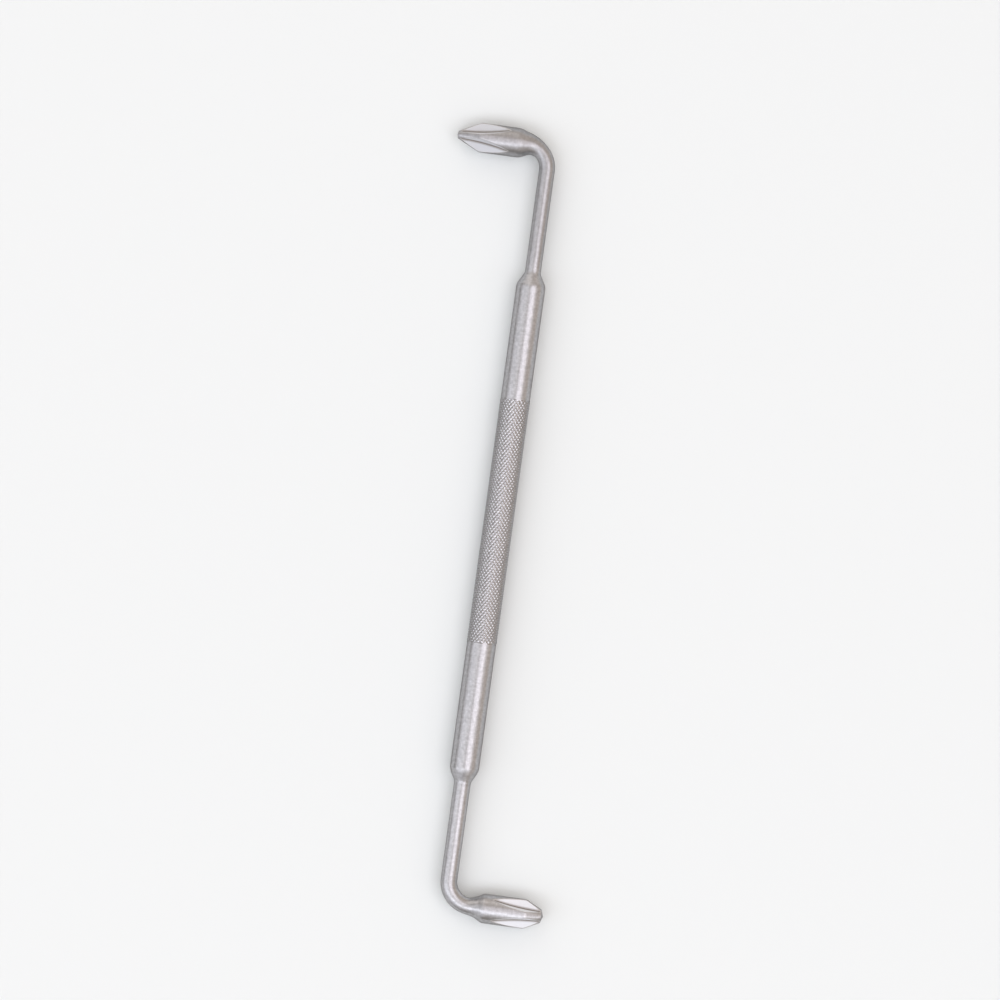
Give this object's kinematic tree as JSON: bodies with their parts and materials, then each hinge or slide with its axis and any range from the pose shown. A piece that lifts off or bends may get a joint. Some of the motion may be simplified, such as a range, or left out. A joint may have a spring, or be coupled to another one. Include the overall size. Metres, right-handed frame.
{
  "type": "offset screwdriver",
  "caption": "Z-shaped offset screwdriver: a slim knurled steel bar, necked and bent square at both ends, with a small cross tip facing one way and a larger one facing the other.",
  "frame": {"origin": "on the bar's axis at the middle of the barrel, half way between the two shoulders", "axes": "+Y along the handle towards the No. 1 end, -X the way the No. 1 tip points, +X the way the No. 2 tip points, +Z square to the flat that the tool lies in"},
  "size_m": [0.0327, 0.1352, 0.0052],
  "materials": {
    "satin_chrome": "satin chrome plate over steel, fine grain",
    "knurled_chrome": "satin chrome plate over a rolled diamond knurl",
    "ground_chrome": "satin chrome plate, brighter on the ground flutes"
  },
  "bodies": {
    "root": {"knurled_grip": "knurled_chrome", "barrel_no1": "satin_chrome", "barrel_no2": "satin_chrome", "neck_no1": "satin_chrome", "neck_no2": "satin_chrome", "bend_no1": "satin_chrome", "bend_no2": "satin_chrome", "cross_tip_no1": "ground_chrome", "cross_tip_no2": "ground_chrome"}
  },
  "joints": []
}
